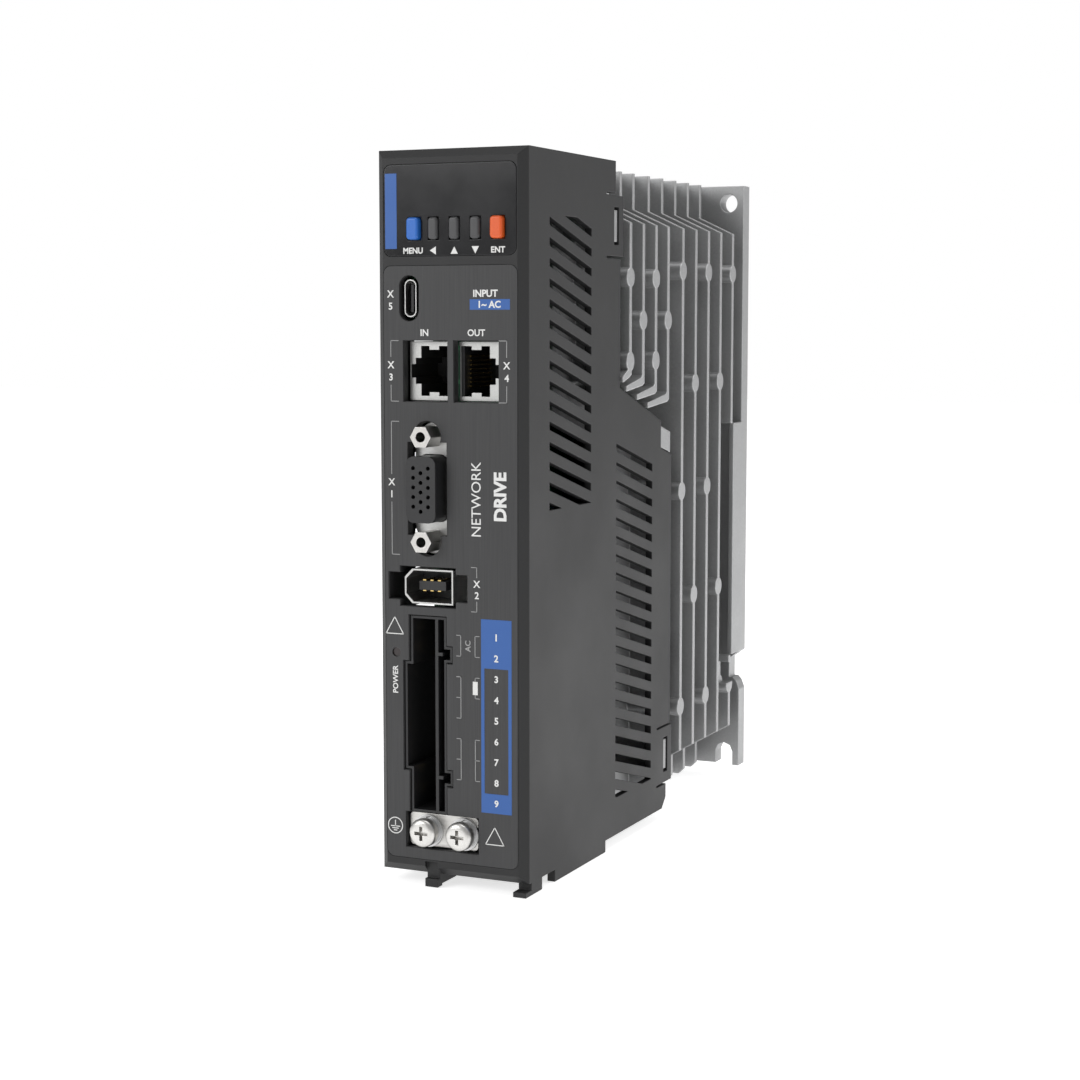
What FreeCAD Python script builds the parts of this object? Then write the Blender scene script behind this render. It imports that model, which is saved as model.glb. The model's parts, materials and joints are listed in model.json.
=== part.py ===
import FreeCAD, Part
import math
import os
import re
import Sketcher

# Panel-mounted servo drive. Every sub-part is drawn in bench coordinates, with x to the right seen from
# the front, y going back from the front face and z up from the bottom of the housing. Its Placement then
# carries it to the drive's own frame, whose origin is the centre of the rear mounting face.

SIZES = {
    # housing, one moulding open at the back
    "width": 39.4, "height": 174, "depth": 156, "side_wall": 1.8, "front_wall": 2.4, "end_wall": 2,
    "front_chamfer": 2, "gap": 0.3, "left_reach": 150.6,
    "top_reach": 54.2, "shoulder_reach": 57.5, "tab_reach": 59.3, "tab_low": 149.5, "tab_high": 166,
    "shoulder_low": 116.7, "step_reach": 86.6, "step_high": 107, "notch_reach": 93.5, "notch_low": 99.7,
    "lower_reach": 94.5, "notch_drop": 2, "foot_tab_reach": 95.8, "foot_tab_high": 23.2, "foot_tab_low": 6.5,
    "corner_reach": 91.7, "corner_bevel": 2.8, "slit": 0.6, "slit_length": 11, "slot_width": 3,
    # side vents: two fields of slanted slots, and plain slots in the top and bottom
    "upper_vent_pitch": 4.84, "lower_vent_pitch": 4.75, "vent_height": 2, "vent_tilt": 15,
    "vent_length": 25.2,
    "upper_vent_start": 13.5, "upper_vent_first": 89.1, "upper_vent_low": 88.6, "upper_vent_high": 158.8,
    "lower_vent_start": 55.2, "lower_vent_first": 10.8, "lower_vent_low": 9.9, "lower_vent_high": 103,
    "end_vent_pitch": 8, "end_vent_width": 3.6, "end_vent_long": 13,
    # hooks and rail under the housing
    "hook_drop": 3, "hook_width": 3.4, "hook_x": -5.6, "hook_length": 10,  "rail_length": 32,
    "corner_hook_length": 9.3, "corner_hook_stem": 3.2, "hook_foot": 1.2,
    # heatsink casting
    "base_thick": 3, "fin_low_tip": 10, "fin_thick": 1.4,
    "sink_low": 0.5, "sink_high": 173.4, "base_front_high": 48, "base_front_low": 84, "base_step": 98,
    "flange_thick": 5, "front_fin_start": 63.2, "front_fin_pitch": 9, "rear_fin_start": 101.4,
    "rear_fin_pitch": 10.2, "fin_bend_high": 120, "fin_bend_step": 2.4, "foot_fall": 1.2,
    "ramp_low_in": 8, "ramp_low_out": 14, "ramp_high_out": 159, "ramp_high_in": 163.8,
    "boss_radius": 2.5, "fixing_hole_z": 168.4, "fixing_radius": 2.65, "slot_centre_z": 4.2,
    "strip_low": 35.2, "strip_high": 104, "strip_thick": 7,  "neck_low": 25, "plinth_front": 104,
    "plinth_long": 38, "plinth_low": 62,
    "plinth_tall": 52,
    # front panel: window, label film, keys
    "window_low": 148.9, "window_high": 170.5, "window_thick": 1.2, "panel_radius": 2,
    "film_low": 3.6, "film_high": 146.8, "film_thick": 0.25,
    "key_width": 2.6, "key_edge": 0.6, "key_tall": 5.2, "key_z": 155.4, "key_first_x": -9.2,
    "grey_first_x": -4.2,
    "key_pitch": 5.5,
    "key_proud": 0.7, "end_key_width": 3.2, "end_key_proud": 1.5, "key_gap": 0.15, "key_flange": 0.6,
    "end_key_last_x": 12.7,
    "board_thick": 1.6, "display_board_y": 8.2, "display_board_low": 132.6, "display_board_high": 171,
    "switch_size": 4.4, "switch_thick": 1.6, "plunger_radius": 0.9, "plunger_gap": 0.05,
    "digit_half": 11.4, "digit_low": 160.4, "digit_high": 169.4, "digit_thick": 4,
    # connectors
    "usb_x": -10.8, "usb_z": 139.1, "usb_radius": 1.6, "usb_long": 8.9, "usb_wall": 0.3, "usb_margin": 0.9,
    "usb_depth": 7.4,
    "jack_y": 2.6, "jack_low": 114.7, "jack_tall": 14.4, "jack_wide": 11.6, "jack_depth": 21, "jack_gap": 0.9,
    "control_x": 0.15, "plug_tall": 11.9, "plug_wide": 6.8, "plug_depth": 14, "latch_tall": 6.2,
    "latch_deep": 1.5, "catch_tall": 3.2, "catch_deep": 1.2, "shield_thick": 0.3, "finger_tall": 0.9,
    "finger_wide": 2.6, "plug_floor": 1.4,
    "io_x": -6.2, "io_z": 93.9, "io_screw_pitch": 24.99, "io_flange_wide": 9.6, "io_flange_long": 22.9,
    "io_boss_radius": 3.3,
    "io_flange_thick": 0.8, "io_flange_y": 3.4, "io_collar_wide": 8, "io_collar_long": 16.6,
    "io_collar_proud": 6.8, "io_pitch": 2.29, "io_row": 1.98, "io_pin_radius": 0.5,
    "io_screw_flat": 4.8, "io_screw_proud": 6.8, "io_screw_bore": 1.25,
    "encoder_x": -6.2, "encoder_z": 70.35, "encoder_wide": 13, "encoder_tall": 8.4, "encoder_wall": 0.4,
    "encoder_depth": 13, "encoder_y": 0.6, "encoder_nose": 2,
    "power_left": -11.3, "power_wide": 10, "power_low": 15, "power_tall": 48.4, "power_wall": 0.6,
    "bulge_wide": 1.6, "bulge_low": 25.4, "bulge_tall": 26.8, "coding_wide": 1.6, "coding_tall": 4.2,
    "lower_notch": 22, "upper_notch": 52.1, "divider_x": -4.5, "divider_thick": 0.8, "case_inset": 0.2,
    "power_depth": 20, "power_cavity": 15, "pin_pitch": 5, "first_pin_z": 19.2,
    "pin_size": 1, "pin_long": 7, "pin_x": -8.2,
    # earth plate and its captive-washer screws
    "plate_left": -12.1, "plate_wide": 18.4, "plate_low": 6.4, "plate_tall": 8.4, "plate_thick": 3,
    "plate_y": 1.6, "screw_x": -7, "screw_pitch": 9.7, "screw_z": 10.6, "screw_radius": 1.95,
    "tap_radius": 2, "screw_length": 9, "head_radius": 3.5, "head_tall": 2.6, "recess_long": 3.8,
    "recess_wide": 0.8, "recess_deep": 1.6, "washer_radius": 4, "washer_thick": 0.8, "spring_radius": 3.4,
    "spring_thick": 1, "washer_gap": 0.06,
    # boards and what stands on them
    "power_board_front": 24, "power_board_long": 120, "power_board_low": 6,
    "power_board_tall": 156, "control_front": 4, "control_long": 42, "control_low": 64.5,
    "control_tall": 66, "cap_radius": 11, "cap_long": 25, "cap_y": 68, "cap_first_z": 24, "cap_pitch": 25,
    "lamp_x": -14.8, "lamp_z": 54.1, "pipe_radius": 1.1, "pipe_long": 22.6, "module_thick": 5.5,
    "pad_thick": 0.5, "standoff_radius": 2.5,
}

# places that follow from the sizes above
TIED = {
    "fin_tip": "width / 2 + 0.6",
    "base_left": "width / 2 - 17.7",
    "strip_left": "width / 2 - 0.7",
    "neck_right": "width / 2 - 2.5",
    "fixing_x": "width / 2 - 4",
    "rail_start": "width / 2 - 2.9",
    "window_half": "width / 2 - 2.2",
    "film_half": "width / 2 - 2",
    "display_board_half": "width / 2 - 2.7",
    "power_board_x": "side_wall + 1 - width / 2",
    "plinth_left": "side_wall + board_thick + 8.3 - width / 2",
}

doc = FreeCAD.newDocument("ServoDrive")
sheet = doc.addObject("Spreadsheet::Sheet", "size")
for row, (alias, number) in enumerate(SIZES.items(), start=1):
    sheet.set("A%d" % row, alias)
    sheet.set("B%d" % row, str(number))
    sheet.setAlias("B%d" % row, alias)
doc.recompute()

NODES = []
SHIFT = ("0", "-depth", "-height / 2")
FACING = {"x": FreeCAD.Rotation(FreeCAD.Vector(0, 1, 0), 90),
          "y": FreeCAD.Rotation(FreeCAD.Vector(1, 0, 0), -90),
          "z": FreeCAD.Rotation()}


def named(text):
    """Turn an expression's names into references to the sheet, and tied places into what they follow."""
    def reference(found):
        word = found.group(0)
        if word in TIED:
            return "(" + named(TIED[word]) + ")"
        return "size." + word if word in SIZES else word

    return re.sub(r"[a-z_]+", reference, str(text))


def value(text):
    """The present value of an expression over the sheet."""
    found = sheet.evalExpression(named(text))
    return float(getattr(found, "Value", found))


def bind(item, prop, text):
    item.setExpression(prop, named(text))


def place(item, at):
    for axis, text in zip("xyz", at):
        bind(item, "Placement.Base." + axis, text)


def box(at, extent, turn=None):
    """A block from its low corner and its three sizes, each an expression."""
    item = doc.addObject("Part::Box", "Block")
    for prop, text in zip(("Length", "Width", "Height"), extent):
        bind(item, prop, text)
    if turn:
        item.Placement.Rotation = turn
    place(item, at)
    return item


def rod(at, radius, length, facing="y"):
    """A cylinder that starts at a point and runs along x, y or z."""
    item = doc.addObject("Part::Cylinder", "Rod")
    bind(item, "Radius", radius)
    bind(item, "Height", length)
    item.Placement.Rotation = FACING[facing]
    place(item, at)
    return item


def fuse(*pieces):
    item = doc.addObject("Part::MultiFuse", "Joined")
    item.Shapes = list(pieces)
    return item


def group(*pieces):
    """Separate solids kept side by side in one sub-part."""
    item = doc.addObject("Part::Compound", "Group")
    item.Links = list(pieces)
    return item


def cut(base, *tools):
    item = doc.addObject("Part::Cut", "Trimmed")
    item.Base = base
    item.Tool = tools[0] if len(tools) == 1 else fuse(*tools)
    return item


def common(base, tool):
    item = doc.addObject("Part::Common", "Shared")
    item.Base = base
    item.Tool = tool
    return item


def node(item, name, at=("0", "0", "0")):
    """Name a finished sub-part and carry it to the drive's frame."""
    if item.TypeId in ("Part::Box", "Part::Cylinder"):
        item = group(item)
    item.Label = name
    place(item, ["%s + (%s)" % pair for pair in zip(SHIFT, at)])
    NODES.append(item)
    return item


def new_body(name):
    return doc.addObject("PartDesign::Body", name + "_body")


def sketch_on(body, plane, offset="0"):
    """A sketch on one of the body's own origin planes, moved along its normal."""
    sketch = body.newObject("Sketcher::SketchObject", "Sketch")
    origin = [item for item in body.Origin.OriginFeatures if item.Role == plane][0]
    sketch.AttachmentSupport = [(origin, "")]
    sketch.MapMode = "FlatFace"
    bind(sketch, "AttachmentOffset.Base.z", offset)
    return sketch


def pin_point(sketch, line, end, across, up):
    for kind, text in (("DistanceX", across), ("DistanceY", up)):
        rule = sketch.addConstraint(Sketcher.Constraint(kind, -1, 1, line, end, value(text)))
        sketch.setExpression("Constraints[%d]" % rule, named(text))


def outline(sketch, points):
    """A closed outline of straight runs through points given as pairs of expressions."""
    spots = [FreeCAD.Vector(value(across), value(up), 0) for across, up in points]
    first = sketch.GeometryCount
    count = len(points)
    for index in range(count):
        sketch.addGeometry(Part.LineSegment(spots[index], spots[(index + 1) % count]), False)
    for index in range(count):
        following = first + (index + 1) % count
        sketch.addConstraint(Sketcher.Constraint("Coincident", first + index, 2, following, 1))
        pin_point(sketch, first + index, 1, *points[index])


def oblong(left, low, right, high):
    return [(left, low), (right, low), (right, high), (left, high)]


def ring(sketch, across, up, radius):
    spot = FreeCAD.Vector(value(across), value(up), 0)
    number = sketch.addGeometry(Part.Circle(spot, FreeCAD.Vector(0, 0, 1), value(radius)), False)
    pin_point(sketch, number, 3, across, up)
    rule = sketch.addConstraint(Sketcher.Constraint("Radius", number, value(radius)))
    sketch.setExpression("Constraints[%d]" % rule, named(radius))


def feature(body, kind, sketch, length, backward=False):
    """A Pad or Pocket of a sketch; backward turns its direction round."""
    item = body.newObject("PartDesign::" + kind, kind)
    item.Profile = sketch
    bind(item, "Length", length)
    item.Reversed = backward
    doc.recompute()
    return item


def edges_where(shape, test):
    return ["Edge%d" % (index + 1) for index, edge in enumerate(shape.Edges) if test(edge)]


def dress(body, kind, edges, amount):
    """A Fillet or Chamfer on named edges of the body's last feature."""
    item = body.newObject("PartDesign::" + kind, kind)
    item.Base = (body.Tip if body.Tip != item else item.BaseFeature, edges)
    bind(item, "Radius" if kind == "Fillet" else "Size", amount)
    doc.recompute()
    return item


def along(edge, axis):
    """Whether a straight edge runs along x, y or z."""
    run = edge.Vertexes[-1].Point - edge.Vertexes[0].Point
    return run.Length > 0 and abs(getattr(run, axis)) > 0.999 * run.Length


def rounded_plate(left, low, right, high, thick, radius):
    """A plate with four rounded corners whose front lies in the XZ plane."""
    body = new_body("Plate")
    sketch = sketch_on(body, "XZ_Plane")
    outline(sketch, oblong(left, low, right, high))
    feature(body, "Pad", sketch, thick, backward=True)
    dress(body, "Fillet", edges_where(body.Shape, lambda edge: along(edge, "y")), radius)
    return body


def slanted_slots(field_name, count):
    """One field of side vents: tilted bars cut off square at the field's edges."""
    start, first, low, high, pitch = [field_name + part for part in
                                      ("_vent_start", "_vent_first", "_vent_low", "_vent_high",
                                       "_vent_pitch")]
    lean = FreeCAD.Rotation(FreeCAD.Vector(1, 0, 0), -value("vent_tilt"))
    bars = [box(("width / 2 - side_wall - 1", start + " - 2", "%s + %s * %d" % (first, pitch, step)),
                ("side_wall + 2", "vent_length + 6", "vent_height * 0.97"), lean)
            for step in range(count)]
    field = box(("width / 2 - side_wall - 1", start, low),
                ("side_wall + 2", "vent_length", "%s - %s" % (high, low)))
    return common(fuse(*bars), field)


def end_vents(floor):
    """Plain slots through the top or the bottom wall."""
    return [box(("-width / 2 + 5 + end_vent_pitch * %d" % column, "14 + 18 * %d" % row, floor),
                ("end_vent_width", "end_vent_long", "end_wall + 2"))
            for column in range(4) for row in range(2)]


def left_vents():
    """Level slots through the left wall, in two fields."""
    return [box(("-width / 2 - 1", "16 + 44 * %d" % column, "14 + lower_vent_pitch * 2 * %d" % row),
                ("side_wall + 2", "26", "vent_height"))
            for column in range(3) for row in range(15)]


def housing_shell():
    """The hollow moulding with its stepped rear edge on the heatsink side."""
    body = new_body("housing")
    block = sketch_on(body, "XZ_Plane")
    outline(block, oblong("-width / 2", "0", "width / 2", "height"))
    feature(body, "Pad", block, "left_reach", backward=True)
    front = edges_where(body.Shape, lambda edge: all(abs(end.Y) < 1e-6 for end in edge.Vertexes))
    dress(body, "Chamfer", front, "front_chamfer")
    hollow = sketch_on(body, "XZ_Plane", "-left_reach")
    outline(hollow, oblong("-width / 2 + side_wall", "end_wall", "width / 2 - side_wall",
                           "height - end_wall"))
    feature(body, "Pocket", hollow, "left_reach - front_wall", backward=True)
    step = sketch_on(body, "YZ_Plane", "width / 2 + 1")
    outline(step, [
        ("top_reach", "height + 1"), ("top_reach", "tab_high"), ("tab_reach", "tab_high"),
        ("tab_reach", "tab_low"), ("shoulder_reach", "tab_low"), ("shoulder_reach", "shoulder_low"),
        ("step_reach", "step_high"), ("step_reach", "notch_low"), ("notch_reach", "notch_low - notch_drop"),
        ("lower_reach", "notch_low - notch_drop"), ("lower_reach", "foot_tab_high"),
        ("foot_tab_reach", "foot_tab_high"), ("foot_tab_reach", "foot_tab_low"),
        ("corner_reach", "foot_tab_low"), ("corner_reach", "corner_bevel"),
        ("corner_reach - corner_bevel", "0"), ("corner_reach - corner_bevel", "-1"),
        ("left_reach + 1", "-1"), ("left_reach + 1", "height + 1")])
    feature(body, "Pocket", step, "width / 2 + 1 - base_left + gap", backward=False)
    return body


def snap_cuts():
    """Slits that free the two snap tabs, and the windows that take the casting's catches."""
    wall = ("width / 2 - side_wall - 1", "side_wall + 2")
    cuts = [box((wall[0], "%s - slit_length" % reach, z), (wall[1], "slit_length + 1", "slit"))
            for reach, z in (("tab_reach", "tab_high - slit"), ("tab_reach", "tab_low"),
                             ("foot_tab_reach", "foot_tab_high - slit"), ("foot_tab_reach", "foot_tab_low"))]
    cuts += [box((wall[0], "%s - slot_width * 2" % reach, low), (wall[1], "slot_width",
                                                                 high + " - (" + low + ")"))
             for reach, low, high in (("tab_reach", "tab_low + 3.5", "tab_high - 3.5"),
                                      ("foot_tab_reach", "foot_tab_low + 3.5", "foot_tab_high - 3.5"))]
    return cuts


def power_spans(inset):
    """The power socket's outline as low x, low z, width and height: a tall block, the bulge on its left that
    takes the plug's lever, and the two coding notches on its right."""
    blocks = [
        ("power_left", "power_low", "power_wide", "power_tall"),
        ("power_left - bulge_wide", "bulge_low", "bulge_wide + 1", "bulge_tall"),
        ("power_left + power_wide - 1", "lower_notch", "coding_wide + 1", "coding_tall"),
        ("power_left + power_wide - 1", "upper_notch", "coding_wide + 1", "coding_tall"),
    ]
    return [("%s + %s" % (x, inset), "%s + %s" % (z, inset), "%s - 2 * %s" % (wide, inset),
             "%s - 2 * %s" % (tall, inset)) for x, z, wide, tall in blocks]


def front_openings(clear="0"):
    """What is cut through the front wall and the label film for the connectors."""
    depth = "front_wall + 2"
    spans = [
        ("control_x - jack_gap - jack_wide", "jack_low", "jack_wide", "jack_tall"),
        ("control_x + jack_gap", "jack_low", "jack_wide", "jack_tall"),
        ("encoder_x - encoder_wide / 2 - 0.9", "encoder_z - encoder_tall / 2 - 0.6", "encoder_wide + 1.8",
         "encoder_tall + 1.2"),
        ("encoder_x - encoder_wide / 2 - 4", "encoder_z - 3.25", "encoder_wide + 8", "6.5"),
        *power_spans("0"),
        ("plate_left - 0.3", "plate_low", "plate_wide + 1.1", "plate_tall + 0.3"),
    ]
    cuts = [box(("%s - %s" % (x, clear), "-1", "%s - %s" % (z, clear)),
                ("%s + 2 * %s" % (wide, clear), depth, "%s + 2 * %s" % (tall, clear)))
            for x, z, wide, tall in spans]
    half = "io_screw_pitch / 2"
    cuts += [rod(("io_x", "-1", "io_z %s %s" % (sign, half)), "io_boss_radius + gap + %s" % clear, depth)
             for sign in "+-"]
    cuts += [box(("io_x - io_flange_wide / 2 - gap - %s" % clear, "-1", "io_z - io_flange_long / 2 + gap"),
                 ("io_flange_wide + gap * 2 + 2 * %s" % clear, depth, "io_flange_long - gap * 2"))]
    reach = "usb_radius + usb_margin + %s" % clear
    cuts += [rod(("usb_x", "-1", "usb_z %s (usb_long / 2 - usb_radius)" % sign), reach,
                 depth) for sign in "+-"]
    cuts += [box(("usb_x - (%s)" % reach, "-1", "usb_z - usb_long / 2 + usb_radius"),
                 ("(%s) * 2" % reach, depth, "usb_long - usb_radius * 2"))]
    cuts += [rod(("lamp_x", "-1", "lamp_z"), "pipe_radius + 0.05", depth)]
    return cuts


def hooks():
    """Two hooks under the front edge and the guide rail behind the right one."""
    parts = [
        box(("hook_x - hook_width / 2", "0", "-hook_drop"), ("hook_width", "2.4", "hook_drop + 1")),
        box(("hook_x - hook_width / 2", "0", "-hook_drop / 2 - 1"), ("hook_width", "hook_length",
                                                                     "hook_drop / 2 + 2")),
        box(("width / 2 - hook_width", "0", "-hook_drop"), ("hook_width", "corner_hook_length", "hook_foot")),
        box(("width / 2 - hook_width", "corner_hook_stem", "-hook_drop"),
            ("hook_width", "corner_hook_length - corner_hook_stem", "hook_drop + 1")),
        box(("width / 2 - 2", "rail_start", "-hook_drop"), ("2", "rail_length", "hook_drop + 1")),
    ]
    return parts


def housing():
    recess = rounded_plate("-window_half", "window_low", "window_half", "window_high", "window_thick + 0.5",
                           "panel_radius")
    place(recess, ("0", "-0.5", "0"))
    film = rounded_plate("-film_half", "film_low", "film_half", "film_high", "film_thick + 0.5",
                         "panel_radius")
    place(film, ("0", "-0.5", "0"))
    behind = [box(("-digit_half - gap", "0", "digit_low - gap"),
                  ("digit_half * 2 + gap * 2", "front_wall + 1", "digit_high - digit_low + 2 * gap")),
              box(("key_first_x - 3", "0", "key_z - key_tall / 2 - 0.8"),
                  ("end_key_last_x - key_first_x + 6", "front_wall + 1", "key_tall + 1.6"))]
    foot_notch = box(("hook_x - hook_width / 2", "-1", "-hook_drop / 3"),
                     ("hook_width", "2.2", "hook_drop + 1.2"))
    shell = cut(fuse(housing_shell(), *hooks()), recess, film, foot_notch, *behind, *front_openings(),
                *snap_cuts(),
                *end_vents("-1"), *end_vents("height - end_wall - 1"), *left_vents(),
                slanted_slots("upper", 16), slanted_slots("lower", 20))
    return node(shell, "housing")


def casting_base(body):
    """The casting's upright wall behind the fins, seen from the side."""
    wall = sketch_on(body, "YZ_Plane", "base_left")
    outline(wall, [
        ("base_front_high", "step_high + 3"), ("base_front_high", "height - end_wall - gap"),
        ("top_reach + gap", "height - end_wall - gap"), ("top_reach + gap", "sink_high"),
        ("depth - flange_thick / 2", "sink_high"), ("depth - flange_thick / 2", "sink_low"),
        ("corner_reach - corner_bevel + end_wall + gap * 2", "sink_low"),
        ("corner_reach - corner_bevel + end_wall + gap * 2", "end_wall + gap"),
        ("base_front_low", "end_wall + gap"), ("base_front_low", "base_step")])
    feature(body, "Pad", wall, "base_thick")


def casting_flange(body):
    """The rear mounting flange, with its waist below the thick strip and its two fixings."""
    plate = sketch_on(body, "XZ_Plane", "-depth")
    outline(plate, [
        ("-width / 2", "sink_low"), ("fixing_x - fixing_radius", "sink_low"),
        ("fixing_x - fixing_radius", "slot_centre_z"), ("fixing_x - fixing_radius * 0.7",
                                                        "slot_centre_z + fixing_radius * 0.71"),
        ("fixing_x", "slot_centre_z + fixing_radius"),
        ("fixing_x + fixing_radius * 0.7", "slot_centre_z + fixing_radius * 0.71"),
        ("fixing_x + fixing_radius", "slot_centre_z"), ("fixing_x + fixing_radius", "sink_low - 0.4"),
        ("fin_tip", "sink_low - 0.4"), ("fin_tip", "neck_low - 1.5"), ("fin_tip - 0.9", "neck_low + 0.9"),
        ("fin_tip - 2", "neck_low + 2"), ("neck_right", "neck_low + 3"), ("neck_right", "strip_low - 2.4"),
        ("fin_tip", "strip_low"), ("fin_tip", "sink_high"), ("-width / 2", "sink_high")])
    feature(body, "Pad", plate, "flange_thick")
    hole = sketch_on(body, "XZ_Plane", "-depth")
    ring(hole, "fixing_x", "fixing_hole_z", "fixing_radius")
    feature(body, "Pocket", hole, "flange_thick + 1", backward=True)


def fin_profile(low_end):
    """A fin seen from the back: short at its ends, tall in the middle, with a ramp between."""
    root = "base_left + base_thick / 2"
    top = [("fin_tip", "ramp_high_out"), ("fin_low_tip", "ramp_high_in"), ("fin_low_tip", "sink_high"),
           (root, "sink_high")]
    if low_end:
        return [(root, low_end), ("fin_tip", low_end)] + top
    return [(root, "sink_low"), ("fin_low_tip - 1.5", "sink_low"), ("fin_low_tip", "sink_low + 1.5"),
            ("fin_low_tip", "ramp_low_in"), ("fin_tip", "ramp_low_out")] + top


def long_fins(body):
    """Full-height fins, all but the last in one pattern."""
    sketch = sketch_on(body, "XZ_Plane", "-rear_fin_start - fin_thick / 2")
    outline(sketch, fin_profile(None))
    fin = feature(body, "Pad", sketch, "fin_thick")
    row = body.newObject("PartDesign::LinearPattern", "FinRow")
    row.Originals = [fin]
    row.Direction = ([item for item in body.Origin.OriginFeatures if item.Role == "Y_Axis"][0], [""])
    bind(row, "Length", "rear_fin_pitch * 4")
    row.Occurrences = 5
    body.Tip = row
    doc.recompute()


def corner_block(body):
    """The raised block that shows in the notch of the housing's stepped edge."""
    sketch = sketch_on(body, "YZ_Plane", "base_left + 1")
    outline(sketch, [("step_reach + gap", "notch_low + gap"), ("notch_reach + 1",
                                                               "notch_low - notch_drop + gap * 1.4"),
                     ("notch_reach + 1", "notch_low + 4"), ("step_reach + gap", "notch_low + 6")])
    feature(body, "Pad", sketch, "width / 2 - base_left - 1.4")


def short_fins(body):
    """Four fins that stop above the housing's step and turn forward along it."""
    for index in range(4):
        place_y = "front_fin_start + front_fin_pitch * %d" % index
        low = "fin_bend_high - fin_bend_step * %d" % index
        sketch = sketch_on(body, "XZ_Plane", "-(%s) - fin_thick / 2" % place_y)
        outline(sketch, fin_profile(low))
        feature(body, "Pad", sketch, "fin_thick")
        tip = "shoulder_reach + gap * 2 + %s" % ("0", "2.5", "10", "17.5")[index]
        foot = sketch_on(body, "YZ_Plane", "base_left + base_thick / 2")
        outline(foot, [
            (place_y + " + fin_thick / 2", low), (place_y + " + fin_thick / 2", low + " + 2"),
            (place_y + " - fin_thick / 2", low + " + 2"), (place_y + " - fin_thick", low + " + fin_thick"),
            (tip, low + " - foot_fall + fin_thick / 2"), (tip, low + " - foot_fall - fin_thick / 2"),
            (place_y + " - fin_thick / 2", low + " - fin_thick / 2")])
        feature(body, "Pad", foot, "fin_tip - base_left - base_thick / 2")


BOSS_FINS = [(0, 145), (2, 145), (4, 147.5), (6, 147.5), (8, 147.5), (1, 134), (3, 134), (0, 123.4),
             (2, 123.4),
             (5, 116.6), (7, 116.6), (4, 87), (6, 87), (5, 57), (7, 57), (4, 26.5), (6, 26.5), (8, 26.5)]


def fin_y(index):
    """The middle of a fin, counted from the front."""
    if index < 4:
        return "front_fin_start + front_fin_pitch * %d" % index
    return "rear_fin_start + rear_fin_pitch * %d" % (index - 4)


def heatsink():
    """Die-cast chassis: upright wall, fins to the right, flange behind, plinth for the power module."""
    body = new_body("heatsink")
    casting_base(body)
    casting_flange(body)
    long_fins(body)
    short_fins(body)
    corner_block(body)
    bosses = [rod(("base_left + 1", fin_y(index), str(z)), "boss_radius", "fin_tip - base_left - 1", "x")
              for index, z in BOSS_FINS]
    strip = box(("strip_left", "depth - flange_thick - strip_thick", "strip_low"),
                ("fin_tip - strip_left", "strip_thick + 1", "strip_high - strip_low"))
    gap_for_strip = box(("fin_low_tip", fin_y(8) + " - fin_thick", "strip_low"),
                        ("fin_tip - fin_low_tip + 1", "fin_thick * 2", "strip_high - strip_low"))
    plinth = box(("plinth_left", "plinth_front", "plinth_low"),
                 ("base_left - plinth_left + 1", "plinth_long", "plinth_tall"))
    catches = []
    for reach, low, high in (("tab_reach", "tab_low + 4.3", "tab_high - 4.3"),
                             ("foot_tab_reach", "foot_tab_low + 4.3", "foot_tab_high - 4.3")):
        catches.append(box(("base_left + 1", "%s - slot_width * 2 + 0.5" % reach, low),
                           ("width / 2 - base_left - 1.3", "slot_width - 1", high + " - (" + low + ")")))
    neck_cut = box(("neck_right", fin_y(7) + " + fin_thick", "neck_low + 2"),
                   ("fin_tip", "flange_thick + 20", "strip_low - neck_low - 4"))
    casting = cut(fuse(cut(body, gap_for_strip), plinth, strip, *catches, *bosses), neck_cut)
    return node(casting, "heatsink")


def display_window():
    lens = rounded_plate("-window_half + 0.1", "window_low + 0.1", "window_half - 0.1", "window_high - 0.1",
                         "window_thick", "panel_radius")
    return node(cut(lens, *key_holes()), "display_window")


def key_spots():
    """Centre, width and stand-off of each key, from left to right."""
    spots = [("key_first_x", "end_key_width", "end_key_proud")]
    spots += [("grey_first_x + key_pitch * %d" % step, "key_width", "key_proud") for step in range(3)]
    spots.append(("end_key_last_x", "end_key_width", "end_key_proud"))
    return spots


def key_holes():
    return [box(("%s - %s / 2 - key_gap" % (x, wide), "-0.5", "key_z - key_tall / 2 - key_gap"),
                ("%s + key_gap * 2" % wide, "window_thick + 1", "key_tall + key_gap * 2"))
            for x, wide, proud in key_spots()]


def key(name, x, wide, proud):
    """A key cap with rounded edges, a retaining rim behind the window and a stem to its switch."""
    body = new_body(name)
    face = sketch_on(body, "XZ_Plane", proud)
    outline(face, oblong("-%s / 2" % wide, "-key_tall / 2", "%s / 2" % wide, "key_tall / 2"))
    feature(body, "Pad", face, "%s + window_thick + 0.4" % proud, backward=True)
    dress(body, "Fillet", edges_where(body.Shape, lambda edge: along(edge, "y")), "0.9")
    top = edges_where(body.Shape, lambda edge: all(abs(end.Y + value(proud)) < 1e-6 for end in edge.Vertexes))
    dress(body, "Fillet", top, "key_edge")
    rim = sketch_on(body, "XZ_Plane", "-window_thick - plunger_gap")
    outline(rim, oblong("-%s / 2 - 0.45" % wide, "-key_tall / 2 - 0.45", "%s / 2 + 0.45" % wide,
                        "key_tall / 2 + 0.45"))
    feature(body, "Pad", rim, "key_flange", backward=True)
    stem = sketch_on(body, "XZ_Plane", "-window_thick - plunger_gap")
    ring(stem, "0", "0", "plunger_radius + 0.3")
    feature(body, "Pad", stem, "display_board_y - switch_thick - 1 - window_thick - plunger_gap",
            backward=True)
    return node(body, name, (x, "0", "key_z"))


def label_film():
    sheet_body = rounded_plate("-film_half + 0.1", "film_low + 0.1", "film_half - 0.1", "film_high - 0.1",
                               "film_thick", "panel_radius")
    return node(cut(sheet_body, *front_openings("0.15")), "label_film")


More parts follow.
